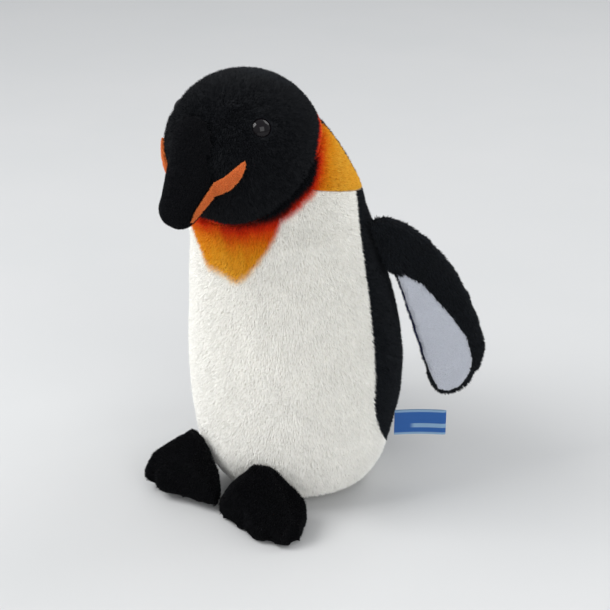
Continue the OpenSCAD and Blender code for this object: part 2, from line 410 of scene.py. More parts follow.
class Shader:
    """A material's node tree, built by expressions."""

    def __init__(self, name: str) -> None:
        """Starts an empty material."""
        self.material = bpy.data.materials.new(name)
        self.material.use_nodes = True
        self.tree = self.material.node_tree
        self.tree.nodes.clear()

    def node(
        self, kind: str, settings: dict | None = None, sockets: dict | None = None, output: int | str = 0
    ) -> Wire:
        """Adds any node.

        Args:
            kind: The node's type name.
            settings: Its own settings; "stops" fills a colour ramp.
            sockets: Values or wires for its inputs, by name or number.
            output: The output to hand back.

        Returns:
            The chosen output as a wire.
        """
        made = self.tree.nodes.new(kind)
        for name, value in (settings or {}).items():
            if name == "stops":
                self._fill_ramp(made.color_ramp, value)
            else:
                setattr(made, name, value)
        for name, value in (sockets or {}).items():
            socket = made.inputs[name]
            if isinstance(value, Wire):
                self.tree.links.new(value.socket, socket)
            elif isinstance(value, tuple) and socket.type == "RGBA":
                socket.default_value = (*value, 1.0)
            else:
                socket.default_value = value
        return Wire(self, made.outputs[output]) if made.outputs else Wire(self, None)

    @staticmethod
    def _fill_ramp(ramp: bpy.types.ColorRamp, stops: list[tuple[float, Colour]]) -> None:
        """Sets a colour ramp's stops."""
        while len(ramp.elements) < len(stops):
            ramp.elements.new(0.5)
        for element, (place, colour) in zip(ramp.elements, stops):
            element.position = place
            element.color = (*colour, 1.0)

    def place(self) -> tuple[Wire, Wire, Wire]:
        """The x, y and z of the point being shaded, in millimetres."""
        spot = self.node("ShaderNodeTexCoord", output="Object")
        split = self.node("ShaderNodeSeparateXYZ", sockets={0: spot})
        outputs = split.socket.node.outputs
        return tuple(Wire(self, outputs[axis]) * 1000.0 for axis in range(3))

    def noise(self, scale: float, detail: float = 2.0) -> Wire:
        """A noise between 0 and 1 with this many waves to the metre."""
        spot = self.node("ShaderNodeTexCoord", output="Object")
        return self.node("ShaderNodeTexNoise", sockets={"Vector": spot, "Scale": scale, "Detail": detail})

    def streaks(self, wide: float, tall: float) -> Wire:
        """A noise between 0 and 1 drawn out upright, with its size in millimetres."""
        x, y, z = self.place()
        spot = self.node("ShaderNodeCombineXYZ", sockets={0: x / wide, 1: y / wide, 2: z / tall})
        return self.node("ShaderNodeTexNoise", sockets={"Vector": spot, "Scale": 1.0, "Detail": 2.0})

    def attribute(self, name: str) -> Wire:
        """A number that the mesh carries."""
        return self.node("ShaderNodeAttribute", {"attribute_name": name}, output="Fac")

    def ramp(self, value: Wire, stops: list[tuple[float, Colour]]) -> Wire:
        """A colour looked up from a value between 0 and 1."""
        return self.node("ShaderNodeValToRGB", {"stops": stops}, {"Fac": value}, "Color")

    def blend(self, share: Wire | float, first: Wire | Colour, second: Wire | Colour) -> Wire:
        """Goes from the first colour to the second by share."""
        settings = {"data_type": "RGBA"}
        return self.node("ShaderNodeMix", settings, {0: share, 6: first, 7: second}, COLOUR_RESULT)

    def shaded(self, colour: Wire | Colour, value: Wire) -> Wire:
        """A colour made darker or lighter by a value."""
        grey = self.node("ShaderNodeCombineXYZ", sockets={0: value, 1: value, 2: value})
        return self.vector("MULTIPLY", 0, colour, grey)

    def vector(self, operation: str, output: int | str, *terms: Wire | Triple) -> Wire:
        """Adds one Vector Math node and hands one of its outputs back."""
        return self.node("ShaderNodeVectorMath", {"operation": operation}, dict(enumerate(terms)), output)

    def bump(self, height: Wire, depth: float) -> Wire:
        """A normal that follows a height, with depth in metres."""
        return self.node("ShaderNodeBump", sockets={"Height": height, "Distance": depth, "Strength": 1.0})

    def finish(
        self, colour: Wire | Colour, normal: Wire | None = None, **surface: float
    ) -> bpy.types.Material:
        """Ends the material with a Principled shader.

        Args:
            colour: Base colour.
            normal: Normal, if it isn't the mesh's own.
            surface: Other sockets, with _ for the space in their names.

        Returns:
            The finished material.
        """
        sockets: dict = {name.replace("_", " "): value for name, value in surface.items()}
        sockets["Base Color"] = colour
        if normal:
            sockets["Normal"] = normal
        body = self.node("ShaderNodeBsdfPrincipled", sockets=sockets)
        self.node("ShaderNodeOutputMaterial", sockets={"Surface": body})
        return self.material


# ---------------------------------------------------------------- finishes


@dataclass(frozen=True)
class Plush:
    """Pile fabric in one colour, darkened towards the roots by painted shade.

    Attributes:
        name: Name of the fabric.
        root: Colour deep in the pile, darkened as painted shade.
        tip: Colour of the pile's tips.
        sheen: How much light the pile's edge catches.
        shine: How strongly the fibres mirror light.
        mottle: How unevenly the pile takes the light.
    """

    name: str
    root: Colour
    tip: Colour
    sheen: float = 0.0
    shine: float = 0.15
    mottle: float = 0.25

    def colour(self, shader: Shader, depth: Wire | float) -> Wire:
        """Colour at a depth of the pile, 0 at the root and 1 at the tip; the darker root is painted shade."""
        return shader.blend(depth, self.root, self.tip)

    def pile(self) -> bpy.types.Material:
        """The finish of the standing fibres."""
        shader = Shader(self.name + "_pile")
        # Painted shade: the pile darkens from its tips down to its roots.
        depth = shader.attribute("along").step(-0.3, 0.7)
        patches = (shader.noise(90.0) - 0.5) * self.mottle
        strands = (shader.attribute("tint") - 0.5) * self.mottle
        colour = shader.shaded(self.colour(shader, depth), 1.0 + patches + strands)
        shine = {"Sheen_Weight": self.sheen, "Sheen_Roughness": 0.5, "Specular_IOR_Level": self.shine}
        return shader.finish(colour, Roughness=0.7, **shine)

    def cloth(self) -> bpy.types.Material:
        """The finish of the knitted backing between the fibres, in the pile's colour partway down, so with
        painted shade.
        """
        shader = Shader(self.name + "_backing")
        knit = shader.noise(1400.0, 3.0)
        # Painted shade: the backing takes the colour that lies partway between the darkened root and the tip.
        colour = shader.shaded(self.colour(shader, 0.35), 0.8 + knit * 0.3)
        normal = shader.bump(knit, 0.4 * MM)
        return shader.finish(colour, normal, Roughness=0.9, Specular_IOR_Level=self.shine)


@dataclass(frozen=True)
class AirbrushedPlush(Plush):
    """White pile sprayed red, orange and gold below the black head, with a bib and two ear patches.

    Lengths are in millimetres and angles in degrees round the neck, from the front.

    Attributes:
        centre: Centre of the head.
        up: Direction of the neck, as its y and z.
        chin: Height along the neck at which black turns to red at the front.
        cheek_rise: How much higher that is at the cheeks.
        ear_rise: How much higher again it is over the ears.
        bib: How far the bib reaches down at its tip.
        bib_slope: How much less it reaches for each degree to the side.
        bib_turn: Where the tip lies.
        bib_blunt: How blunt the tip is.
        edge: Least width of the sprayed edge.
        ear_z: Height of the ear patch's lower edge at its front.
        ear_y: Front end of the ear patch.
        ear_slope: How fast that edge drops towards the back.
        ear_back: How far the ear patch reaches back, against its width.
        side_y: Depth of the side seam, behind which the plush is black.
        tuck_z: Height below which the side seam sweeps back.
        tuck: How fast it sweeps back.
    """

    centre: Triple = (0.0, -47.0, 239.0)
    up: tuple[float, float] = (-0.572, 0.820)
    chin: float = 208.5
    cheek_rise: float = 3.0
    ear_rise: float = 11.0
    bib: float = 38.5
    bib_slope: float = 0.91
    bib_turn: float = 3.0
    bib_blunt: float = 19.0
    edge: float = 6.5
    ear_z: float = 224.0
    ear_y: float = -45.0
    ear_slope: float = 0.28
    ear_back: float = 1.1
    side_y: float = -3.0
    tuck_z: float = 76.0
    tuck: float = 0.0137

    def spray(self, shader: Shader, below: Wire, off_tip: Wire, turn: Wire) -> Wire:
        """Colour of the spray, by the distance below the black and the place round the neck."""
        stops = [
            (0.0, (0.004, 0.005, 0.007)),
            (0.035, (0.09, 0.006, 0.003)),
            (0.085, (0.58, 0.020, 0.003)),
            (0.16, (0.76, 0.055, 0.004)),
            (0.26, (0.82, 0.15, 0.005)),
            (0.40, (0.84, 0.29, 0.008)),
            (0.60, (0.84, 0.39, 0.014)),
            (1.0, (0.86, 0.48, 0.04)),
        ]
        streaks = (shader.streaks(7.0, 60.0) - 0.5) * below.at_least(0.0) * 0.9
        pace = 1.0 - off_tip.step(8.0, 35.0) * 0.3 + turn.step(50.0, 88.0) * 1.0
        return shader.ramp((below * pace + streaks) / 40.0, stops)

    def colour(self, shader: Shader, depth: Wire | float) -> Wire:
        """Colour at a depth of the pile, by its place round the neck, with painted shade towards the roots.
        """
        x, y, z = shader.place()
        _, cy, cz = self.centre
        lean, rise = self.up
        across = (y - cy) * rise - (z - cz) * lean
        signed_turn = x.angle_to(0.0 - across) * math.degrees(1.0)
        turn = abs(signed_turn)
        line = self.chin + turn.step(45.0, 80.0) * self.cheek_rise + turn.step(82.0, 115.0) * self.ear_rise
        line = line + turn.step(12.0, 2.0) * 4.0
        wander = (shader.noise(200.0) - 0.5) * 5.0
        below = line - (z * rise + y * lean) + wander * 0.35
        swing = signed_turn - self.bib_turn
        off_tip = (swing * swing + self.bib_blunt**2).root() - self.bib_blunt
        width = (self.bib - off_tip * self.bib_slope).at_least(self.edge)
        bib = (width - below + wander).step(-2.5, 3.5)
        over_edge = (z - self.ear_z + (y - self.ear_y) * self.ear_slope).step(-0.5, 0.5)
        spine = -24.0 - (z - 210.0) * 0.45
        ear_zone = over_edge * (abs(x) * self.ear_back + spine - y).step(-0.6, 0.6)
        behind_cheek = y.step(self.ear_y - 6.0, self.ear_y + 2.0)
        ear = ear_zone * behind_cheek
        low = (self.tuck_z - z).at_least(0.0)
        front = (low * low * self.tuck + self.side_y - y).step(-0.5, 0.5) * (1.0 - over_edge * behind_cheek)
        paint = self.spray(shader, below, off_tip, turn)
        # Painted shade: the spray darkens towards the roots of the pile.
        if isinstance(depth, Wire):
            paint = shader.shaded(paint, 0.75 + 0.25 * depth)
        pale = shader.blend(bib.at_least(ear), super().colour(shader, depth), paint)
        return shader.blend(front.at_least(ear_zone), BLACK.colour(shader, depth), pale)


@dataclass(frozen=True)
class FlipperPlush(Plush):
    """Black pile with a painted bluish sheen along the flipper's inner edge.

    Attributes:
        sheen_navy: Colour of the painted bluish sheen along the inner edge.
        start: Root of the left flipper, in millimetres.
        axis: Direction of its inner edge, upwards.
    """

    sheen_navy: Colour = (0.006, 0.010, 0.045)
    start: Triple = (60.8, 10.4, 175.5)
    axis: Triple = (-0.117, -0.292, 0.949)

    def colour(self, shader: Shader, depth: Wire | float) -> Wire:
        """Colour at a depth of the pile, with a painted bluish sheen near the inner edge."""
        x, y, z = shader.place()
        sx, sy, sz = self.start
        arm = shader.node("ShaderNodeCombineXYZ", sockets={0: abs(x) - sx, 1: y - sy, 2: z - sz})
        off = shader.vector("LENGTH", "Value", shader.vector("CROSS_PRODUCT", 0, arm, self.axis))
        reach = shader.vector("DOT_PRODUCT", "Value", arm, self.axis)
        # Painted sheen: a navy band along the flipper's inner edge stands in for a bluish sheen on the black
        # pile.
        patch = off.step(12.0, 7.0) * reach.step(-24.0, -34.0) * reach.step(-96.0, -80.0)
        return shader.blend(patch, super().colour(shader, depth), self.sheen_navy)


@dataclass(frozen=True)
class Plastic:
    """Moulded plastic with faint marks in its surface."""

    name: str
    tone: Colour
    roughness: float
    ior: float = 1.45

    def material(self) -> bpy.types.Material:
        """The finish."""
        shader = Shader(self.name)
        marks = shader.noise(900.0, 3.0)
        colour = shader.shaded(self.tone, 0.9 + marks * 0.2)
        normal = shader.bump(marks, 0.01 * MM)
        return shader.finish(colour, normal, Roughness=self.roughness, IOR=self.ior)


@dataclass(frozen=True)
class Fibre:
    """Loose filling or plain cotton, by the size of its lumps and the tone."""

    name: str
    tone: Colour
    scale: float
    depth: float

    def material(self) -> bpy.types.Material:
        """The finish."""
        shader = Shader(self.name)
        lumps = shader.noise(self.scale, 5.0)
        colour = shader.shaded(self.tone, 0.75 + lumps * 0.5)
        return shader.finish(colour, shader.bump(lumps, self.depth), Roughness=0.95)


@dataclass(frozen=True)
class Ribbon:
    """Woven satin ribbon with a pale border along both edges and a pale band."""

    name: str = "woven_ribbon"
    ground: Colour = (0.003, 0.085, 0.33)
    border: Colour = (0.26, 0.42, 0.58)
    threads: float = 3200.0

    def material(self, low: float, high: float) -> bpy.types.Material:
        """The finish for a ribbon whose edges are at these heights, in millimetres."""
        shader = Shader(self.name)
        x, y, z = shader.place()
        rise = (z - low) / (high - low)
        edge = abs(rise - 0.5).step(0.40, 0.43)
        band = abs(rise - 0.36).step(0.10, 0.07) * (x + y).step(104.0, 110.0)
        weave = self.wave(shader, z) * 0.5 + self.wave(shader, x + y) * 0.5
        colour = shader.blend(edge.at_least(band) * 0.8, self.ground, self.border)
        colour = shader.shaded(colour, 0.85 + weave * 0.3)
        return shader.finish(colour, shader.bump(weave, 0.05 * MM), Roughness=0.42)

    def wave(self, shader: Shader, along: Wire) -> Wire:
        """Threads side by side along one direction, between 0 and 1."""
        swing = shader.node("ShaderNodeMath", {"operation": "SINE"}, {0: along * (self.threads * MM * 2.0)})
        return swing * 0.5 + 0.5


# Every root colour is darker than its tip: painted shade deep in the pile.
BLACK = Plush("black_plush", (0.0015, 0.002, 0.003), (0.006, 0.008, 0.011), sheen=0.03, mottle=0.6)
FOOT_BLACK = Plush("foot_plush", (0.001, 0.001, 0.0015), (0.0025, 0.0028, 0.004), sheen=0.01, mottle=0.6)
BEAK_BLACK = Plush("beak_plush", (0.001, 0.001, 0.0015), (0.003, 0.0035, 0.0055), sheen=0.01, mottle=0.5)
WHITE = Plush("white_plush", (0.84, 0.82, 0.76), (0.97, 0.96, 0.92), shine=0.3, mottle=0.06)
SPRAYED = AirbrushedPlush("gold_plush", WHITE.root, WHITE.tip, shine=0.2, mottle=0.10)
SALMON = Plush("stripe_plush", (0.50, 0.11, 0.025), (0.78, 0.23, 0.065), mottle=0.3)
LINING = Plush("flipper_lining", (0.50, 0.52, 0.57), (0.72, 0.74, 0.80), mottle=0.12)
FLIPPER_BLACK = FlipperPlush("flipper_plush", BLACK.root, BLACK.tip, sheen=0.03, mottle=0.6)
EYE_PLASTIC = Plastic("eye_plastic", (0.003, 0.002, 0.003), 0.06, ior=1.33)
WASHER_PLASTIC = Plastic("washer_plastic", (0.80, 0.80, 0.76), 0.45)
PELLET_PLASTIC = Plastic("pellet_plastic", (0.72, 0.72, 0.70), 0.35)
STUFFING = Fibre("stuffing_fibre", (0.85, 0.85, 0.83), 260.0, 2.0 * MM)
BAG_COTTON = Fibre("bag_cotton", (0.68, 0.66, 0.60), 2200.0, 0.2 * MM)


# ---------------------------------------------------------------- pile


@dataclass(frozen=True)
class Pile:
    """Short fibres that stand on a cloth, as closed three-sided tufts.

    Attributes:
        length: Length of a tuft, in metres.
        width: Width of a tuft at its foot, in metres.
        per_mm2: Tufts on a square millimetre.
        lean: Direction that the pile is brushed in, against an upright length of 1.
        scatter: How far tufts stray from it.
        seed: Start of the random draws.
    """

    length: float
    width: float
    per_mm2: float
    lean: Triple = (0.0, 0.0, -0.7)
    scatter: float = 0.45
    seed: int = 1

    def tuft(self) -> bpy.types.Object:
        """One tuft of length and width 1, its foot just below the origin."""
        tuft = primitive("cone", vertices=3, radius1=0.5, depth=1.0, location=(0, 0, 0.4))
        bpy.ops.object.transform_apply(location=True, rotation=True, scale=True)
        along = tuft.data.attributes.new("along", "FLOAT", "POINT")
        along.data.foreach_set("value", points_of(tuft)[:, 2])
        return tuft

    def grow(
        self, cloth: bpy.types.Object, name: str, finish: Plush, wrap: Wrap, bare: Mask | None = None
    ) -> bpy.types.Object:
        """Covers a cloth with the pile.

        Args:
            cloth: The panel, before it gets its thickness.
            name: Name of the new piece.
            finish: The fabric.
            wrap: How its bake map lies.
            bare: The share of the pile at each vertex, where it isn't all there.

        Returns:
            The pile as one mesh.
        """
        piece = copy_of(cloth, name)
        share = bare(points_of(piece)) if bare else np.ones(len(piece.data.vertices))
        cover = piece.data.attributes.new("pile", "FLOAT", "POINT")
        cover.data.foreach_set("value", share.astype(np.float32))
        tuft = self.tuft()
        modifier = piece.modifiers.new("pile", "NODES")
        modifier.node_group = self.tree(name, tuft)
        select_only(piece)
        bpy.ops.object.modifier_apply(modifier=modifier.name)
        bpy.data.objects.remove(tuft)
        lay_out(piece, wrap)
        piece.data.materials.clear()
        piece.data.materials.append(finish.pile())
        return piece

    def tree(self, name: str, tuft: bpy.types.Object) -> bpy.types.NodeTree:
        """The nodes that set tufts on the cloth's faces."""
        tree = bpy.data.node_groups.new(name, "GeometryNodeTree")
        for way in ("INPUT", "OUTPUT"):
            tree.interface.new_socket("Geometry", in_out=way, socket_type="NodeSocketGeometry")

        def add(kind: str, settings: dict | None = None, sockets: dict | None = None) -> bpy.types.Node:
            """Adds one node with its settings, values and links."""
            made = tree.nodes.new(kind)
            for key, value in (settings or {}).items():
                setattr(made, key, value)
            for key, value in (sockets or {}).items():
                open_sockets = [s for s in made.inputs if s.enabled and s.name == key]
                socket = open_sockets[0] if isinstance(key, str) else made.inputs[key]
                if isinstance(value, bpy.types.NodeSocket):
                    tree.links.new(value, socket)
                else:
                    socket.default_value = value
            return made

        def shown(made: bpy.types.Node, key: str) -> bpy.types.NodeSocket:
            """The enabled output of that name."""
            return next(s for s in made.outputs if s.enabled and s.name == key)

        def drawn(kind: str, low: float | Triple, high: float | Triple, draw: int) -> bpy.types.NodeSocket:
            """A random value on each tuft."""
            ends = {"Min": low, "Max": high, "Seed": self.seed + draw}
            return shown(add("FunctionNodeRandomValue", {"data_type": kind}, ends), "Value")

        def combined(kind: str, operation: str, first: object, second: object) -> bpy.types.NodeSocket:
            """The outcome of one Math or Vector Math node."""
            return add(kind, {"operation": operation}, {0: first, 1: second}).outputs[0]

        source = add("NodeGroupInput")
        cover = add("GeometryNodeInputNamedAttribute", {"data_type": "FLOAT"}, {"Name": "pile"})
        amount = combined("ShaderNodeMath", "MULTIPLY", shown(cover, "Attribute"), self.per_mm2 / MM**2)
        points = add(
            "GeometryNodeDistributePointsOnFaces",
            {"distribute_method": "RANDOM"},
            {"Mesh": source.outputs[0], "Density": amount, "Seed": self.seed},
        )
        stray = drawn("FLOAT_VECTOR", (-self.scatter,) * 3, (self.scatter,) * 3, 1)
        brushed = combined("ShaderNodeVectorMath", "ADD", shown(points, "Normal"), self.lean)
        aim = combined("ShaderNodeVectorMath", "ADD", brushed, stray)
        turn = add("FunctionNodeAlignRotationToVector", {"axis": "Z"}, {"Vector": aim})
        grown = drawn("FLOAT", 0.65 * self.length, 1.1 * self.length, 2)
        size = add("ShaderNodeCombineXYZ", None, {"X": self.width, "Y": self.width, "Z": grown})
        shape = add("GeometryNodeObjectInfo", None, {"Object": tuft})
        stood = {
            "Points": points.outputs[0],
            "Instance": shown(shape, "Geometry"),
            "Rotation": turn.outputs[0],
            "Scale": size.outputs[0],
        }
        tufts = add("GeometryNodeInstanceOnPoints", None, stood)
        marked = add(
            "GeometryNodeStoreNamedAttribute",
            {"data_type": "FLOAT", "domain": "INSTANCE"},
            {"Geometry": tufts.outputs[0], "Name": "tint", "Value": drawn("FLOAT", 0.0, 1.0, 3)},
        )
        real = add("GeometryNodeRealizeInstances", None, {"Geometry": marked.outputs[0]})
        add("NodeGroupOutput", None, {0: real.outputs[0]})
        return tree


def outward_ball(centre: Vector, radius: float, fade: float) -> Mask:
    """A mask that is 0 inside a ball and rises to 1 over fade outside it."""
    middle = np.array(centre)
    return lambda places: np.clip((np.linalg.norm(places - middle, axis=1) - radius) / fade, 0.0, 1.0)


def uncovered(centre: Vector, covers: list[bpy.types.Object], depth: float) -> Mask:
    """A mask that is 0 where another piece lies over a ball's surface by more than depth.

    Args:
        centre: Centre of the ball.
        covers: The pieces that may lie over it.
        depth: Thickness of cover up to which the pile still stands.

    Returns:
        The mask.
    """
    graph = bpy.context.evaluated_depsgraph_get()
    trees = [BVHTree.FromObject(cover, graph) for cover in covers]

    def mask(places: np.ndarray) -> np.ndarray:
        """Looks in along each point's own direction."""
        share = np.ones(len(places))
        for index, place in enumerate(places):
            out = (Vector(place) - centre).normalized()
            start = centre + out * 0.2
            for tree in trees:
                hit = tree.ray_cast(start, -out)[0]
                if hit is not None and (hit - Vector(place)).dot(out) > depth:
                    share[index] = 0.0
        return share

    return mask


def apart_from(pieces: list[bpy.types.Object], gap: float) -> Mask:
    """A mask that is 0 within a gap of these pieces and 1 elsewhere."""
    graph = bpy.context.evaluated_depsgraph_get()
    trees = [BVHTree.FromObject(piece, graph) for piece in pieces]

    def mask(places: np.ndarray) -> np.ndarray:
        """Looks for the nearest point of each piece."""
        near = [[tree.find_nearest(Vector(place), gap)[0] is None for tree in trees] for place in places]
        return np.all(near, axis=1).astype(float)

    return mask


def declare(piece: bpy.types.Object, slot: str, body: str, *nodes: str) -> None:
    """Lets a piece ride on a body in place of CAD nodes, and reports it."""
    if nodes:
        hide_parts(*nodes)
    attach(piece, body)
    LOG.info("%s rides on %s: %d faces", piece.name, body, len(piece.data.polygons))


def cover_with(
    pile: Pile,
    piece: bpy.types.Object,
    finish: Plush,
    slot: str,
    body: str,
    node: str,
    wrap: Wrap,
    backing: float,
    bare: Mask | None = None,
) -> None:
    """Gives a panel its pile and backing, and lets both ride on one body.

    Args:
        pile: Its pile.
        piece: The bare panel.
        finish: Its fabric.
        slot: Not used.
        body: The body that it rides on.
        node: The CAD node that it stands for.
        wrap: How the pile's bake map lies.
        backing: Thickness of the cloth.
        bare: Where the pile is left off.
    """
    fur = pile.grow(piece, piece.name.replace("cover", "pile"), finish, wrap, bare)
    backed(piece, finish, backing)
    declare(piece, slot, body, node)
    declare(fur, slot, body)


# ---------------------------------------------------------------- the penguin


@dataclass(frozen=True)
class Core:
    """Loose fibre inside a cover, kept clear of the cloth.

    Attributes:
        node: The CAD node that it stands for.
        body: The body that it rides on.
        voxel: Size of its faces, in metres.
        inset: How far it lies inside the CAD filling, in metres.
    """

    node: str
    body: str
    voxel: float = 4.0 * MM
    inset: float = 2.4 * MM

    def build(self) -> None:
        """Makes the filling."""
        piece = solid_from(self.node + "_core", self.node)
        applied(piece, "REMESH", mode="VOXEL", voxel_size=self.voxel)
        applied(piece, "DISPLACE", strength=-self.inset, mid_level=0.0)
        applied(piece, "SMOOTH", factor=0.5, iterations=2)
        soft_shaded(piece)
        piece.data.materials.append(STUFFING.material())
        declare(piece, "stuffing_fibre", self.body, self.node)


@dataclass
class Body:
    """The pear-shaped body of five panels on a round base, with a cup for the head.

    Attributes:
        voxel: Size of the cover's faces before it is subdivided.
        backing: Thickness of the cloth.
        seam_width: Half the width of the strip that the thread holds.
        base_z: Height of the seam round the base.
        head_hold: Reach of the held cloth outside the head.
        cup_gap: Gap between the head and the cup that it turns in.
        cup_sink: How far what lies inside the head is drawn in before the cup is cut.
        cup_lip: Depth over which that sets in.
        filling: How it is stuffed.
        neck_axis: Direction of the neck.
        bend_low: Reach of the still part of the neck from the head's centre; not used.
        bend_high: Reach of the part meant to turn with the head; not used.
    """

    voxel: float = 4.0 * MM
    backing: float = 1.0 * MM
    seam_width: float = 2.6 * MM
    base_z: float = 6.0 * MM
    bend_low: float = 32.0 * MM
    bend_high: float = 9.5 * MM
    head_hold: float = 3.5 * MM
    cup_gap: float = 0.4 * MM
    cup_sink: float = 3.0 * MM
    cup_lip: float = 1.2 * MM
    filling: Filling = Filling(shrink=2.6 * MM, pressure=3.0, cap=1.3 * MM)
    neck_axis: Vector = field(default_factory=lambda: Vector((0.0, -0.57, 0.82)).normalized())

    def __post_init__(self) -> None:
        """Reads the seams' places off the frame."""
        low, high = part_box("head_side_left")
        self.head_centre = Vector((0.0, (low.y + high.y) / 2, (low.z + high.z) / 2))
        self.head_r = (high.z - low.z) / 2
        self.side_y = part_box("nape")[0].y
        self.neck_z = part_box("belly_panel")[1].z

    def seams(self, places: np.ndarray) -> np.ndarray:
        """Whether the thread, the base or the head's cup holds each point."""
        side = np.abs(places[:, 1] - self.side_y) < self.seam_width
        back = (np.abs(places[:, 0]) < self.seam_width) & (places[:, 1] > 0)
        back &= places[:, 2] < self.neck_z
        neck = np.abs(places[:, 2] - self.neck_z) < self.seam_width
        neck &= places[:, 1] > self.side_y
        base = places[:, 2] < self.base_z
        reach = np.linalg.norm(places - np.array(self.head_centre), axis=1)
        head = reach < self.head_r + self.head_hold
        return side | back | neck | base | head

    def form(self) -> bpy.types.Object:
        """The filled cover in one piece."""
        nodes = ["belly_panel", "back_panel_left", "back_panel_right", "base_panel", "collar", "nape"]
        head = ["head_gusset", "head_side_left", "head_side_right", "head_stuffing"]
        cover = solid_from("body_form", *nodes, "body_stuffing", "pellet_bag", "pellets", *head)
        cover = rounded(cover, self.voxel, 3)
        self.filling.stuff(cover, self.seams)
        applied(cover, "SMOOTH", factor=0.4, iterations=1)
        applied(cover, "SUBSURF", levels=1, render_levels=1)
        radius = self.head_r + self.cup_gap
        ball = primitive("uv_sphere", segments=96, ring_count=64, radius=radius, location=self.head_centre)
        places = points_of(cover)
        arms = places - np.array(self.head_centre)
        reach = np.linalg.norm(arms, axis=1, keepdims=True)
        sunk = self.cup_sink * np.clip((self.head_r + self.cup_lip - reach) / self.cup_lip, 0.0, 1.0)
        cover.data.vertices.foreach_set("co", (places - arms / reach * sunk).ravel())
        cover.data.update()
        applied(cover, "BOOLEAN", operation="DIFFERENCE", object=ball, solver="EXACT")
        bpy.data.objects.remove(ball)
        return outer_part(cover)

    def nap(self, piece: bpy.types.Object) -> bpy.types.Object:
        """A copy of a panel without the cup's wall, for the pile to stand on."""
        nap = copy_of(piece, piece.name + "_nap")
        wall = self.head_r + self.cup_gap + 0.08 * MM
        keep_faces(nap, lambda spot, _: (spot - self.head_centre).length > wall)
        return nap

    def panel(self, name: str, form: bpy.types.Object, cuts: list[Cut]) -> bpy.types.Object:
        """One panel cut from the form, with no thickness yet."""
        piece = copy_of(form, name)
        for cut in cuts:
            cut.trim(piece)
        return piece

    def dress(
        self, piece: bpy.types.Object, finish: Plush, slot: str, node: str, pile: Pile, bare: Mask, wrap: Wrap
    ) -> list[bpy.types.Object]:
        """Gives a panel its pile and its backing.

        Args:
            piece: The bare panel.
            finish: Its fabric.
            slot: Not used.
            node: The CAD node it stands for.
            pile: Its pile.
            bare: Where the pile is left off.
            wrap: How the pile's bake map lies.

        Returns:
            The panel and its pile.
        """
        nap = self.nap(piece)
        fur = pile.grow(nap, piece.name.replace("cover", "pile"), finish, wrap, bare)
        bpy.data.objects.remove(nap)
        backed(piece, finish, self.backing)
        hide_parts(node)
        counts = len(piece.data.polygons), len(fur.data.polygons)
        LOG.info("%s: %d faces, pile %d faces", piece.name, *counts)
        return [piece, fur]

    def build(self) -> bpy.types.Object:
        """Makes every panel of the body.

        Returns:
            The body's form, which other parts measure against.
        """
        form = self.form()
        gap = SEAM_GAP
        low, high = self.base_z, self.neck_z
        front, rear = front_of(self.side_y - gap), behind(self.side_y + gap)
        trunk = [above(low + gap), below(high - gap)]
        start = self.head_centre - self.neck_axis * self.bend_low
        end = self.head_centre - self.neck_axis * self.bend_high

        def standing(places: np.ndarray) -> np.ndarray:
            """Leaves the pile off at the floor."""
            return (places[:, 2] > low + 1.0 * MM).astype(float)

        neck_pile = Pile(3.4 * MM, 1.1 * MM, 2.6, lean=(0.0, 0.0, -0.35), seed=31)
        bendy, still = [], []
        belly = self.panel("belly_cover", form, [front, *trunk])
        halves = {"left": 1, "right": -1}
        for side, sign in halves.items():
            half = self.nap(self.panel("belly_half", belly, [beside(0.0, sign)]))
            pile = Pile(3.6 * MM, 1.15 * MM, 2.2, seed=11 + sign)
            fur = pile.grow(half, "belly_pile_" + side, SPRAYED, Wrap.AROUND_Z, standing)
            bpy.data.objects.remove(half)
            bpy.data.objects.remove(bpy.data.objects["belly_half"])
            bendy.append(fur)
            LOG.info("%s: %d faces", fur.name, len(fur.data.polygons))
        backed(belly, SPRAYED, self.backing)
        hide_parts("belly_panel")
        bendy.append(belly)
        for side, sign in halves.items():
            cuts = [rear, *trunk, beside(sign * gap, sign)]
            back = self.panel("back_cover_" + side, form, cuts)
            pile = Pile(4.0 * MM, 1.25 * MM, 1.8, seed=21 + sign)
            still += self.dress(
                back, SPRAYED, "black_plush", "back_panel_" + side, pile, standing, Wrap.AROUND_Z
            )
        collar = self.panel("collar_cover", form, [front, above(high + gap)])
        bendy += self.dress(collar, SPRAYED, "gold_plush", "collar", neck_pile, standing, Wrap.AROUND_Z)
        nape = self.panel("nape_cover", form, [rear, above(high + gap)])
        bendy += self.dress(nape, SPRAYED, "black_plush", "nape", neck_pile, standing, Wrap.AROUND_Z)
        base = self.panel("base_cover", form, [below(low - gap)])
        backed(base, WHITE, self.backing)
        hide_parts("base_panel")
        still.append(base)
        for piece in still:
            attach(piece, "torso")
        for piece in bendy:
            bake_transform(piece)
        return form


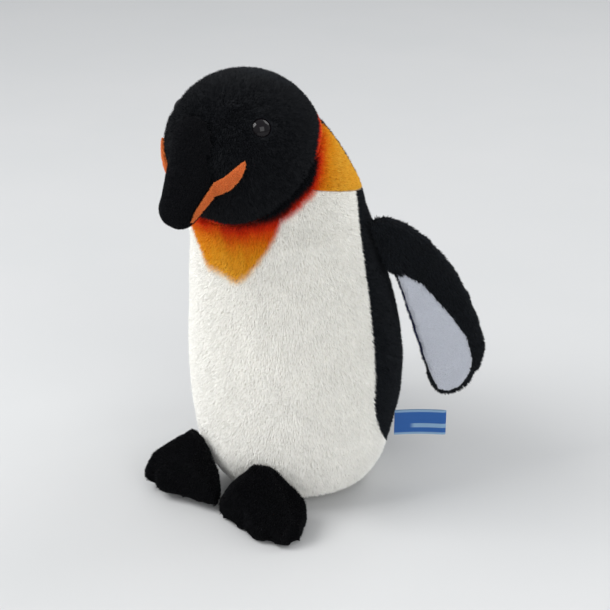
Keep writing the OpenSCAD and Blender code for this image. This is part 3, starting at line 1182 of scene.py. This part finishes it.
@dataclass
class Head:
    """The round head: a strip over the crown between two sides.

    Attributes:
        body: The body it sits on.
        voxel: Size of the cover's faces before it is subdivided.
        backing: Thickness of the cloth.
        seam_width: Half the width of the strip that the thread holds.
        core: Share of the head's radius within which nothing belongs to the cover.
        under: Cover over the head up to which its pile still stands.
        stripe_gap: Width left bare round a stripe.
        eye_gap: Reach of the bare patch round an eye.
        filling: How it is stuffed.
    """

    body: Body
    voxel: float = 3.0 * MM
    backing: float = 1.0 * MM
    seam_width: float = 1.8 * MM
    core: float = 0.9
    under: float = 2.9 * MM
    stripe_gap: float = 1.2 * MM
    eye_gap: float = 6.8 * MM
    filling: Filling = Filling(shrink=1.9 * MM, pressure=3.0, cap=0.8 * MM)

    def build(
        self, covers: list[bpy.types.Object], stripes: list[bpy.types.Object], eyes: list[Vector]
    ) -> None:
        """Makes the head's three panels.

        Args:
            covers: Pieces that lie over the head.
            stripes: The two stripes, which the pile leaves free.
            eyes: Where the eyes sit, which the pile leaves free.
        """
        low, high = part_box("head_gusset")
        half, bottom = high.x, low.z
        nodes = ["head_gusset", "head_side_left", "head_side_right"]
        form = rounded(solid_from("head_form", *nodes, "head_stuffing"), self.voxel, 3)
        centre = self.body.head_centre
        keep_faces(form, lambda spot, _: (spot - centre).length > self.core * self.body.head_r)

        def seams(places: np.ndarray) -> np.ndarray:
            """Whether the thread holds each point."""
            strip = np.abs(np.abs(places[:, 0]) - half) < self.seam_width
            return strip & (places[:, 2] > bottom)

        self.filling.stuff(form, seams)
        applied(form, "SUBSURF", levels=1, render_levels=1)
        free, clear = uncovered(centre, covers, self.under), apart_from(stripes, self.stripe_gap)

        def bare(places: np.ndarray) -> np.ndarray:
            """Leaves the pile off under other pieces and round the eyes."""
            share = free(places) * clear(places)
            for eye in eyes:
                share *= np.linalg.norm(places - np.array(eye), axis=1) > self.eye_gap
            return share

        gap = SEAM_GAP
        lower = copy_of(form, "head_lower")
        below(bottom).trim(lower)
        above(bottom).trim(form)
        for side, sign in (("left", 1), ("right", -1)):
            piece = copy_of(form, "head_cover_" + side)
            beside(sign * (half + gap), sign).trim(piece)
            under = copy_of(lower, "head_under")
            beside(0.0, sign).trim(under)
            select_only(under, piece)
            bpy.ops.object.join()
            with editing(piece, everything=True):
                bpy.ops.mesh.remove_doubles(threshold=MERGE)
            pile = Pile(3.0 * MM, 1.05 * MM, 2.3, lean=(0.0, 0.35, -0.5), seed=41 + sign)
            self.dress(piece, pile, bare, Wrap.FLAT_SIDE, "head_side_" + side)
        crown = copy_of(form, "crown_cover")
        Cut((half - gap, 0, 0), (1, 0, 0)).trim(crown)
        Cut((gap - half, 0, 0), (-1, 0, 0)).trim(crown)
        pile = Pile(3.0 * MM, 1.05 * MM, 2.3, lean=(0.0, 0.5, -0.3), seed=45)
        self.dress(crown, pile, bare, Wrap.AROUND_X, "head_gusset")
        bpy.data.objects.remove(form)
        bpy.data.objects.remove(lower)

    def dress(self, piece: bpy.types.Object, pile: Pile, bare: Mask, wrap: Wrap, node: str) -> None:
        """Gives a panel of the head its pile and backing."""
        cover_with(pile, piece, SPRAYED, "black_plush", "head", node, wrap, self.backing, bare)


@dataclass
class Beak:
    """The short-piled beak, split along the mouth, with a stripe on each side.

    Attributes:
        head_centre: Centre of the head.
        voxel: Size of the cover's faces before it is subdivided.
        sink: How far the cloth lies below the tips of its pile.
        head_reach: Distance from the head's centre at which its pile starts.
        stripe_gap: Width left bare round a stripe.
    """

    head_centre: Vector
    voxel: float = 1.8 * MM
    sink: float = 0.5 * MM
    head_reach: float = 46.5 * MM
    stripe_gap: float = 0.6 * MM

    def stripes(self) -> list[bpy.types.Object]:
        """Makes the stripe on each side, along the mouth and up the cheek.

        Returns:
            The two stripes.
        """
        made = []
        for side in ("left", "right"):
            stripe = solid_from("beak_stripe_cover_" + side, "beak_stripe_" + side)
            applied(stripe, "REMESH", mode="VOXEL", voxel_size=0.4 * MM)
            applied(stripe, "SMOOTH", factor=0.5, iterations=2)
            pile = Pile(1.0 * MM, 0.5 * MM, 6.0, lean=(0.0, -0.4, -0.5), seed=55)
            fur = pile.grow(stripe, "beak_stripe_pile_" + side, SALMON, Wrap.FLAT_SIDE)
            stripe.data.materials.append(SALMON.cloth())
            soft_shaded(stripe)
            declare(stripe, "stripe_plush", "head", "beak_stripe_" + side)
            declare(fur, "stripe_plush", "head")
            made.append(stripe)
        return made

    def build(self, stripes: list[bpy.types.Object]) -> list[bpy.types.Object]:
        """Makes the two halves of the beak.

        Args:
            stripes: The stripes, which the pile leaves free.

        Returns:
            The pieces that lie over the head.
        """
        made = []
        pile = Pile(1.3 * MM, 0.65 * MM, 4.2, lean=(0.0, -0.5, -0.6), seed=51)
        free = outward_ball(self.head_centre, self.head_reach, 0.5 * MM)
        clear = apart_from(stripes, self.stripe_gap)
        for name in ("beak_upper", "beak_lower"):
            cover = rounded(solid_from(name + "_cover", name), self.voxel, 3)
            applied(cover, "DISPLACE", strength=-self.sink, mid_level=0.0)
            applied(cover, "SUBSURF", levels=1, render_levels=1)
            fur = pile.grow(
                cover, name + "_pile", BEAK_BLACK, Wrap.FLAT_WIDE, lambda at: free(at) * clear(at)
            )
            cover.data.materials.append(BEAK_BLACK.cloth())
            soft_shaded(cover)
            declare(cover, "beak_plush", "head", name)
            declare(fur, "beak_plush", "head")
            made.append(cover)
        return made


@dataclass
class Eye:
    """A domed safety eye with a narrow brim and a post.

    Attributes:
        side: 1 for the left eye and -1 for the right one.
        head_centre: Centre of the head.
        head_r: Radius of the head.
        tilt: Angle of the eye from straight up, in degrees.
        turn: Angle towards the front, in degrees.
        radius: Radius of the dome.
        height: Height of the dome.
        brim: How far the brim stands out round it.
        sunk: How far it sits below the tips of the pile.
    """

    side: int
    head_centre: Vector
    head_r: float
    tilt: float = 56.0
    turn: float = 32.0
    radius: float = 6.2 * MM
    height: float = 3.6 * MM
    brim: float = 0.7 * MM
    sunk: float = 1.3 * MM

    def axis(self) -> Vector:
        """The direction that the eye looks in."""
        tilt, turn = math.radians(self.tilt), math.radians(self.turn)
        flat = math.sin(tilt)
        return Vector((self.side * flat * math.cos(turn), -flat * math.sin(turn), math.cos(tilt)))

    def seat(self) -> Vector:
        """The middle of the eye on the head's surface."""
        return self.head_centre + self.axis() * self.head_r

    def build(self) -> None:
        """Makes the eye, from a ball cut to a dome, a brim extruded round it and a post."""
        name = "eye_dome_" + ("left" if self.side > 0 else "right")
        ball_r = (self.radius**2 + self.height**2) / (2 * self.height)
        middle = (0, 0, self.height - ball_r)
        eye = primitive("uv_sphere", segments=48, ring_count=64, radius=ball_r, location=middle)
        eye.name = eye.data.name = name
        bpy.ops.object.transform_apply(location=True)
        with editing(eye, everything=True):
            bpy.ops.mesh.bisect(plane_co=(0, 0, 0), plane_no=(0, 0, -1), clear_outer=True)
            bpy.ops.mesh.select_mode(type="EDGE")
            bpy.ops.mesh.select_all(action="DESELECT")
            bpy.ops.mesh.select_non_manifold()
            wide = (self.radius + self.brim) / self.radius
            for scale, drop in ((wide, 0.0), (1.02, -0.5), (0.9, -0.7)):
                bpy.ops.mesh.extrude_edges_move(TRANSFORM_OT_translate={"value": (0, 0, drop * MM)})
                bpy.ops.transform.resize(value=(scale, scale, 1), center_override=(0, 0, 0))
            bpy.ops.mesh.edge_face_add()
            bpy.ops.mesh.inset(thickness=self.radius * 0.55)
            bpy.ops.mesh.extrude_region_move(TRANSFORM_OT_translate={"value": (0, 0, -9.0 * MM)})
            bpy.ops.mesh.select_all(action="SELECT")
            bpy.ops.mesh.normals_make_consistent(inside=False)
        turned = self.axis().to_track_quat("Z", "Y").to_matrix().to_4x4()
        eye.matrix_world = Matrix.Translation(self.seat() - self.axis() * self.sunk) @ turned
        select_only(eye)
        bpy.ops.object.transform_apply(location=True, rotation=True, scale=True)
        soft_shaded(eye)
        eye.data.materials.append(EYE_PLASTIC.material())
        declare(eye, "eye_plastic", "head", name.replace("dome_", ""))


@dataclass
class Flipper:
    """A flat filled flipper: black outside and round the rim, pale inside.

    Attributes:
        side: 1 for the left flipper and -1 for the right one.
        voxel: Size of the cover's faces before it is subdivided.
        backing: Thickness of the cloth.
        filling: How it is stuffed.
    """

    side: int
    voxel: float = 2.6 * MM
    backing: float = 0.8 * MM
    filling: Filling = Filling(shrink=2.2 * MM, pressure=3.0, cap=2.0 * MM)

    def build(self) -> None:
        """Makes the outer cover, the lining and their piles."""
        word = "left" if self.side > 0 else "right"
        parts = [f"flipper_{part}_{word}" for part in ("outer", "lining", "wadding")]
        form = rounded(solid_from("flipper_form", *parts), self.voxel, 4)
        graph = bpy.context.evaluated_depsgraph_get()
        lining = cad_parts[parts[1]]
        tree = BVHTree.FromObject(lining, graph)
        inward = self.lining_normal(points_of(lining), points_of(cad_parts[parts[2]]))
        self.filling.stuff(form, lambda places: np.zeros(len(places), bool))
        applied(form, "SUBSURF", levels=1, render_levels=1)

        def lined(spot: Vector, normal: Vector) -> bool:
            """Whether a face belongs to the lining."""
            hit = tree.find_nearest(spot)
            flat = spot - hit[0]
            flat -= inward * flat.dot(inward)
            return normal.dot(inward) > 0.35 and flat.length < 0.8 * MM

        outer = copy_of(form, "flipper_cover_" + word)
        keep_faces(outer, lambda spot, normal: not lined(spot, normal))
        inner = copy_of(form, "flipper_lining_cover_" + word)
        keep_faces(inner, lined)
        bpy.data.objects.remove(form)
        outer_pile = Pile(3.2 * MM, 1.1 * MM, 2.4, lean=(0.2 * self.side, 0.5, -0.7), seed=61 + self.side)
        lining_pile = Pile(0.9 * MM, 0.5 * MM, 5.0, lean=(0.0, 0.0, -0.4), scatter=0.8, seed=65 + self.side)
        for piece, pile, finish, slot, node in (
            (outer, outer_pile, FLIPPER_BLACK, "black_plush", parts[0]),
            (inner, lining_pile, LINING, "flipper_lining", parts[1]),
        ):
            cover_with(pile, piece, finish, slot, "flipper_" + word, node, Wrap.FLAT_WIDE, self.backing)

    @staticmethod
    def lining_normal(lining: np.ndarray, wadding: np.ndarray) -> Vector:
        """The direction from the wadding out through the lining."""
        across = np.linalg.svd(lining - lining.mean(0), full_matrices=False)[2][2]
        return Vector(across * np.sign((lining.mean(0) - wadding.mean(0)) @ across))


@dataclass
class Foot:
    """A filled foot with blunt toes, sewn on at the ankle.

    Attributes:
        word: left or right.
        voxel: Size of the cover's faces before it is subdivided.
        backing: Thickness of the cloth.
        filling: How it is stuffed.
        sole: Height of the seam round the sole above the foot's lowest point.
    """

    word: str
    voxel: float = 2.0 * MM
    backing: float = 0.8 * MM
    filling: Filling = Filling(shrink=1.8 * MM, pressure=3.0, cap=1.4 * MM)
    sole: float = 2.6 * MM

    def build(self) -> None:
        """Makes the top, the sole and the pile."""
        parts = [f"foot_{part}_{self.word}" for part in ("top", "sole", "stuffing")]
        seam_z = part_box(parts[1])[0].z + self.sole
        form = rounded(solid_from("foot_form", *parts), self.voxel, 3)
        self.filling.stuff(form, lambda places: places[:, 2] < seam_z)
        applied(form, "SMOOTH", factor=0.4, iterations=1)
        applied(form, "SUBSURF", levels=1, render_levels=1)
        top = copy_of(form, "foot_cover_" + self.word)
        above(seam_z).trim(top)
        sole = copy_of(form, "foot_sole_cover_" + self.word)
        below(seam_z - 0.2 * MM).trim(sole)
        bpy.data.objects.remove(form)
        pile = Pile(2.4 * MM, 0.95 * MM, 2.8, lean=(0.0, -0.6, -0.2), seed=71)
        floor = seam_z + 1.0 * MM
        fur = pile.grow(
            top, "foot_pile_" + self.word, FOOT_BLACK, Wrap.FLAT_WIDE, lambda places: places[:, 2] > floor
        )
        body = "foot_" + self.word
        for piece, node in ((top, parts[0]), (sole, parts[1])):
            backed(piece, FOOT_BLACK, self.backing)
            declare(piece, "foot_plush", body, node)
        declare(fur, "foot_plush", body)


@dataclass
class Tail:
    """The small flat tail."""

    voxel: float = 1.8 * MM
    filling: Filling = Filling(shrink=0.6 * MM, pressure=3.0, cap=1.2 * MM)

    def build(self) -> None:
        """Makes the two sides and the pile."""
        form = rounded(solid_from("tail_form", "tail_top", "tail_under"), self.voxel, 4)
        self.filling.stuff(form, lambda places: places[:, 1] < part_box("tail_top")[0].y + 5 * MM)
        applied(form, "SUBSURF", levels=1, render_levels=1)
        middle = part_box("tail_top")[0].z
        pile = Pile(3.4 * MM, 1.1 * MM, 2.0, lean=(0.0, 0.7, -0.3), seed=81)
        fur = pile.grow(form, "tail_pile", BLACK, Wrap.FLAT_WIDE)
        declare(fur, "black_plush", "tail")
        for name, cut, node in (
            ("tail_cover_top", above(middle + 0.1 * MM), "tail_top"),
            ("tail_cover_under", below(middle - 0.1 * MM), "tail_under"),
        ):
            piece = copy_of(form, name)
            cut.trim(piece)
            backed(piece, BLACK, 0.8 * MM)
            declare(piece, "black_plush", "tail", node)
        bpy.data.objects.remove(form)


@dataclass
class Label:
    """A ribbon folded in two and sewn into the side seam by its ends.

    Attributes:
        length: Length of each half.
        turn: Direction of the ribbon from straight left, in degrees.
        gap: Half the gap between its two layers.
        thickness: Thickness of the ribbon.
        wave: How far it curls out of its plane.
        tucked: How much of it is hidden in the pile at the seam.
        steps: Number of parts that each half is made of.
    """

    length: float = 32.0 * MM
    turn: float = 41.0
    gap: float = 0.45 * MM
    thickness: float = 0.25 * MM
    wave: float = 1.2 * MM
    tucked: float = 2.0 * MM
    steps: int = 16

    def route(self) -> list[Vector]:
        """Points along the folded ribbon at its lower edge, from one end to the other."""
        low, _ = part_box("label")
        turn = math.radians(self.turn)
        out = Vector((math.cos(turn), math.sin(turn), 0.0))
        side = Vector((-out.y, out.x, 0.0))
        start = Vector((low.x, low.y, low.z)) - out * self.tucked
        points = []
        for step in range(2 * self.steps + 1):
            share = 1.0 - abs(step / self.steps - 1.0)
            layer = 1 if step < self.steps else -1
            layer = 0 if step == self.steps else layer
            curl = self.wave * math.sin(math.pi * share)
            reach = (self.length + self.tucked) * share
            points.append(start + out * reach + side * (curl + layer * self.gap))
        return points

    def build(self) -> None:
        """Makes the ribbon from one edge, extruded along its route."""
        low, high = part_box("label")
        width = high.z - low.z
        route = self.route()
        ribbon = primitive("plane", size=1.0)
        ribbon.name = ribbon.data.name = "label_ribbon"
        with editing(ribbon):
            mesh = bmesh.from_edit_mesh(ribbon.data)
            mesh.verts.ensure_lookup_table()
            first, second = route[:2]
            corners = (first, second, first + Vector((0, 0, width)), second + Vector((0, 0, width)))
            for corner, spot in zip(mesh.verts, corners):
                corner.co = spot
            bmesh.update_edit_mesh(ribbon.data)
            bpy.ops.mesh.select_mode(type="EDGE")
            for spot, following in zip(route[1:], route[2:]):
                mesh = bmesh.from_edit_mesh(ribbon.data)
                for edge in mesh.edges:
                    flat = [(v.co - spot).xy.length < 1e-6 for v in edge.verts]
                    edge.select_set(all(flat))
                bmesh.update_edit_mesh(ribbon.data)
                bpy.ops.mesh.extrude_edges_move(TRANSFORM_OT_translate={"value": following - spot})
                bpy.ops.mesh.select_all(action="DESELECT")
            bpy.ops.mesh.select_all(action="SELECT")
            bpy.ops.mesh.normals_make_consistent(inside=False)
        applied(ribbon, "SOLIDIFY", thickness=self.thickness, offset=0.0)
        soft_shaded(ribbon)
        ribbon.data.materials.append(Ribbon().material(low.z / MM, high.z / MM))
        declare(ribbon, "label_ribbon", "label_tab", "label")
        flat = (width, 2 * (self.length + self.tucked))


def dress_inside() -> None:
    """Gives the pieces inside the toy their finishes."""
    Core("body_stuffing", "torso").build()
    Core("head_stuffing", "head").build()
    for side in ("left", "right"):
        Core("foot_stuffing_" + side, "foot_" + side, 2.5 * MM, 1.4 * MM).build()
        Core("flipper_wadding_" + side, "flipper_" + side, 1.2 * MM, 0.9 * MM).build()
    inside = {
        BAG_COTTON: ["pellet_bag"],
        PELLET_PLASTIC: ["pellets"],
        WASHER_PLASTIC: ["eye_washer_left", "eye_washer_right"],
    }
    for finish, nodes in inside.items():
        material = finish.material()
        for node in nodes:
            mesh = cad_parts[node].data
            mesh.materials.clear()
            mesh.materials.append(material)
            LOG.info("%s keeps its CAD shape in %s", node, finish.name)


@dataclass
class Studio:
    """A pale floor, soft light and the camera.

    Attributes:
        azimuth: Side that the camera stands on, from the front towards the toy's left, in degrees.
        elevation: Height of the camera above the horizon, in degrees.
        distance: Distance of the camera from its target.
        target_z: Height of the target.
        lens: Focal length, in millimetres.
        shift: Shift of the view, as a share of its width.
    """

    azimuth: float = 41.0
    elevation: float = 24.0
    distance: float = 1.0
    target_z: float = 0.130
    lens: float = 91.5
    shift: tuple[float, float] = (0.0148, -0.0226)

    def build(self) -> None:
        """Makes the stage."""
        self.camera()
        self.floor()
        self.lamp("key", (-0.75, -0.95, 1.35), 0.9, 21.0)
        self.lamp("fill", (1.4, -0.7, 0.9), 1.2, 11.0)
        self.lamp("rim", (0.3, 1.3, 1.3), 1.0, 9.0)
        world = bpy.data.worlds.new("studio")
        bpy.context.scene.world = world
        world.use_nodes = True
        world.node_tree.nodes["Background"].inputs["Color"].default_value = (0.95, 0.97, 1.0, 1.0)
        world.node_tree.nodes["Background"].inputs["Strength"].default_value = 0.62
        bpy.context.scene.view_settings.view_transform = "Standard"

    def camera(self) -> None:
        """Places the camera."""
        turn, lift = math.radians(self.azimuth), math.radians(self.elevation)
        back = Vector((math.sin(turn) * math.cos(lift), -math.cos(turn) * math.cos(lift), math.sin(lift)))
        data = bpy.data.cameras.new("camera")
        data.lens = self.lens
        data.sensor_width = 36.0
        data.shift_x, data.shift_y = self.shift
        camera = linked("camera", data)
        camera.location = Vector((0, 0, self.target_z)) + back * self.distance
        camera.rotation_euler = (-back).to_track_quat("-Z", "Y").to_euler()
        bpy.context.scene.camera = camera

    def floor(self) -> None:
        """Makes the floor."""
        floor = primitive("plane", size=12.0, location=(0, 0, -0.2 * MM))
        floor.name = "floor"
        shader = Shader("pale_floor")
        grain = shader.noise(6.0, 3.0)
        colour = shader.blend(grain, (0.58, 0.59, 0.59), (0.62, 0.62, 0.62))
        floor.data.materials.append(shader.finish(colour, Roughness=0.7))

    def lamp(self, name: str, place: Triple, size: float, power: float) -> None:
        """Adds a soft square lamp that points at the toy."""
        data = bpy.data.lights.new(name, "AREA")
        data.shape = "SQUARE"
        data.size = size
        data.energy = power
        lamp = linked(name, data)
        lamp.location = place
        aim = Vector((0, 0, self.target_z)) - Vector(place)
        lamp.rotation_euler = aim.to_track_quat("-Z", "Y").to_euler()


def main() -> None:
    """Builds the toy and its stage."""
    logging.basicConfig(level=logging.INFO, format="%(name)s: %(message)s")
    bpy.context.scene.frame_end = max(30, bpy.context.scene.frame_end)
    Studio().build()
    body = Body()
    form = body.build()
    beak = Beak(body.head_centre)
    stripes = beak.stripes()
    halves = beak.build(stripes)
    eyes = [Eye(side, body.head_centre, body.head_r) for side in (1, -1)]
    Head(body).build([form, *halves], stripes, [eye.seat() for eye in eyes])
    bpy.data.objects.remove(form)
    for eye in eyes:
        eye.build()
    for side in (1, -1):
        Flipper(side).build()
    for word in ("left", "right"):
        Foot(word).build()
    Tail().build()
    Label().build()
    dress_inside()


if __name__ == "__main__":
    main()
